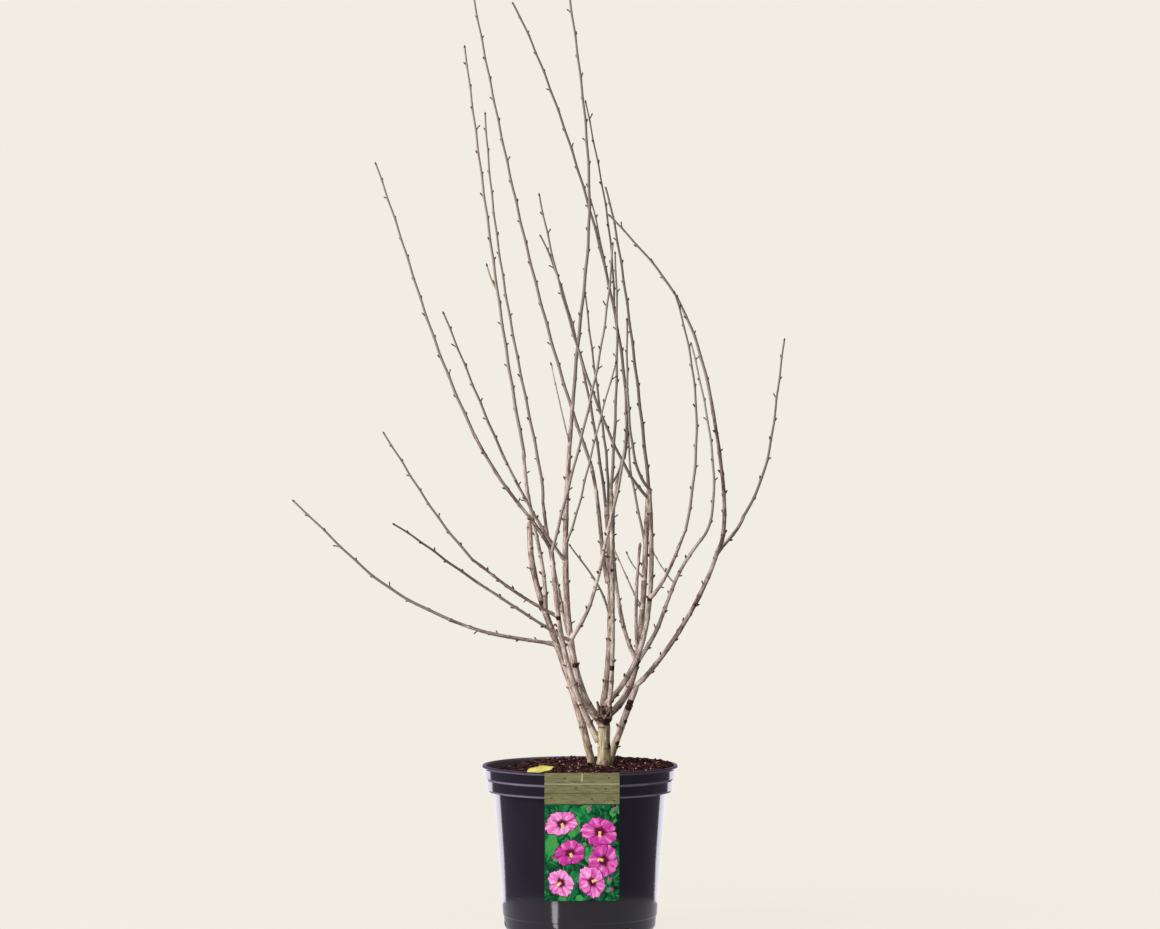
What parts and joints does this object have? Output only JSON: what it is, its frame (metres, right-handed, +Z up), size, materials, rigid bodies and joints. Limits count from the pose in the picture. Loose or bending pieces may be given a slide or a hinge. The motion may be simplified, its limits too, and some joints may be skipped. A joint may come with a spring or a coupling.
{
  "type": "bare rose of sharon shrub in a nursery pot",
  "caption": "Leafless winter rose of sharon, an upright shrub that forks just above the soil of a round black nursery pot with a hanging plant label.",
  "frame": {"origin": "middle of the pot's flat underside", "axes": "+Z up, -Y towards the front where the label hangs, +X to the right seen from the front"},
  "size_m": [0.7089, 0.5118, 1.3852],
  "materials": {
    "pot_plastic": "glossy black injection moulded polypropylene",
    "peat": "moist dark peat with pale flecks",
    "label_film": "printed plastic card with a slight gloss",
    "trunk_bark": "rough olive beige bark",
    "bough_bark": "fine pinkish grey brown bark",
    "twig_bark": "smooth dark young bark with small buds"
  },
  "bodies": {
    "root": {"pot": "pot_plastic", "soil": "peat", "label": "label_film", "trunk": "trunk_bark", "stem_left": "bough_bark", "stem_right": "bough_bark", "bough_centre_pruned": "bough_bark", "bough_centre_tall": "bough_bark", "bough_inner_right": "bough_bark", "bough_centre_front": "bough_bark", "bough_inner_left": "bough_bark", "bough_right_twin": "bough_bark", "bough_crossing": "bough_bark", "bough_low_left": "bough_bark", "bough_mid_left": "bough_bark", "bough_upper_left": "bough_bark", "bough_far_left": "bough_bark", "bough_near_left": "bough_bark", "bough_left_tall": "bough_bark", "bough_left_twin": "bough_bark", "bough_middle": "bough_bark", "bough_centre_left": "bough_bark", "bough_arch_low": "bough_bark", "bough_arch_high": "bough_bark", "bough_right_outer": "bough_bark", "bough_right_mid": "bough_bark", "bough_far_right": "bough_bark", "twigs_centre_tall": "twig_bark", "twigs_low_left": "twig_bark", "twigs_mid_left": "twig_bark", "twigs_upper_left": "twig_bark", "twigs_far_left": "twig_bark", "twigs_near_left": "twig_bark", "twigs_left_tall": "twig_bark", "twigs_left_twin": "twig_bark", "twigs_front_right": "twig_bark", "twigs_middle": "twig_bark", "twigs_front_middle": "twig_bark", "twigs_back_low": "twig_bark", "twigs_centre_left": "twig_bark", "twigs_front_left": "twig_bark", "twigs_back_left": "twig_bark", "twigs_back": "twig_bark", "twigs_back_tall": "twig_bark", "twigs_front_centre": "twig_bark", "twigs_front": "twig_bark", "twigs_right_low": "twig_bark", "twigs_right_tall": "twig_bark", "twigs_arch": "twig_bark", "twigs_right_outer": "twig_bark", "twigs_right_mid": "twig_bark", "twigs_far_right": "twig_bark"}
  },
  "joints": []
}
